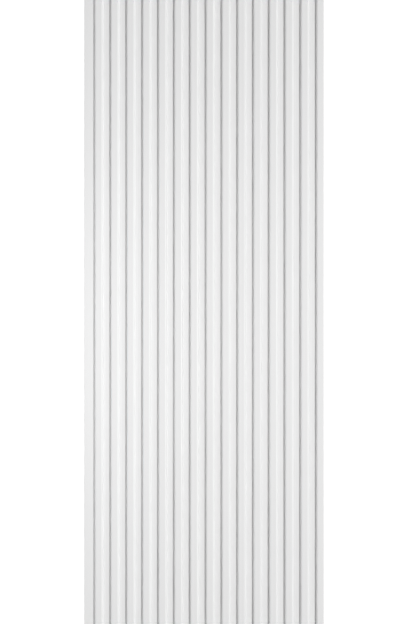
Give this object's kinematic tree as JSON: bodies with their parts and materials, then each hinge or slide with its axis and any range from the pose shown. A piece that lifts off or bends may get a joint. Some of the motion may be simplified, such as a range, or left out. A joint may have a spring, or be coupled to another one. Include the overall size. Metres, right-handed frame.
{
  "type": "slatted wall panel",
  "caption": "White slatted wall panel: one extruded plank with a row of low slats with round shoulders along its face, a lap tongue on one edge and a rebate on the other.",
  "frame": {"origin": "middle of the flat back, which is the face that is glued to the wall and that the plank rests on", "axes": "+X across the slats, from the tongue to the last slat; +Y along the slats; +Z out of the face, away from the wall"},
  "size_m": [0.3038, 2.7, 0.01],
  "materials": {
    "primed_white": "smooth satin-matt white coating over rigid extruded foam"
  },
  "bodies": {
    "root": {"slat_panel": "primed_white"}
  },
  "joints": []
}
